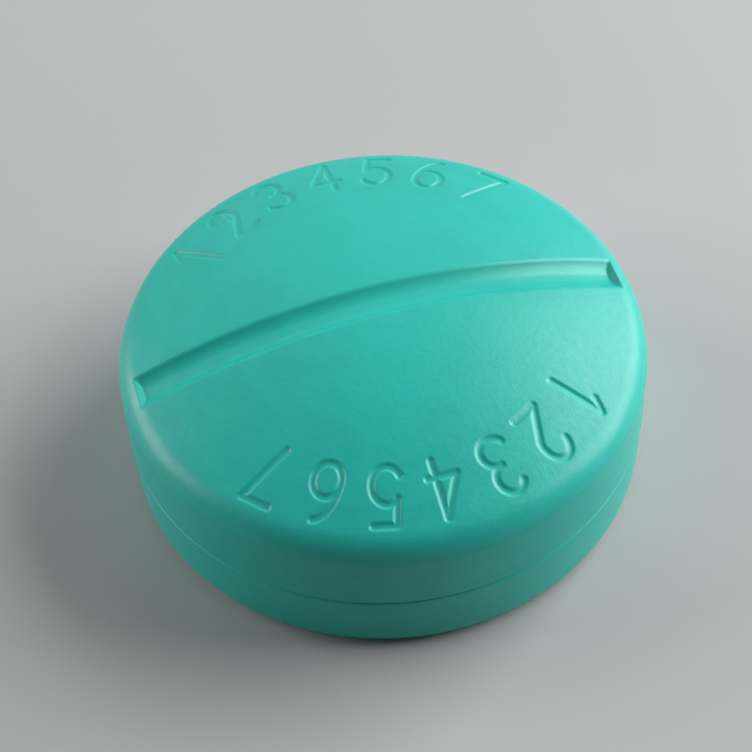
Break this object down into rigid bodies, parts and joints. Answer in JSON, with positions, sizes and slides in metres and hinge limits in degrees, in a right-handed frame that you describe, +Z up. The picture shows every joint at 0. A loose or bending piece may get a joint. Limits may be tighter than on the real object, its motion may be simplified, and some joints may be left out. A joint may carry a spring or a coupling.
{
  "type": "round pill box",
  "caption": "Round pill box shaped like a scored tablet: a domed lid pushes over the neck of a round base that holds a turning tray with a compartment for each day.",
  "frame": {"origin": "centre of the underside, on the surface that the box stands on", "axes": "+Z up along the box's axis, +X along the lid's score line"},
  "size_m": [0.08, 0.08, 0.0324],
  "materials": {
    "teal_plastic": "satin, fine moulded grain",
    "white_plastic": "satin",
    "seal_silicone": "matte, translucent white"
  },
  "bodies": {
    "base": {"base": "teal_plastic"},
    "insert": {"compartment_insert": "white_plastic"},
    "seal": {"seal_ring": "seal_silicone"},
    "lid": {"lid": "teal_plastic"}
  },
  "joints": [
    {"name": "lid_lift", "type": "slide", "parent": "base", "child": "seal", "axis": [0, 0, 1], "range_m": [0, 0.04]},
    {"name": "lid_turn", "type": "hinge", "parent": "seal", "child": "lid", "pos_m": [0, 0, 0.0118], "axis": [0, 0, 1], "continuous": true},
    {"name": "insert_turn", "type": "hinge", "parent": "base", "child": "insert", "pos_m": [0, 0, 0.0031], "axis": [0, 0, 1], "continuous": true}
  ]
}
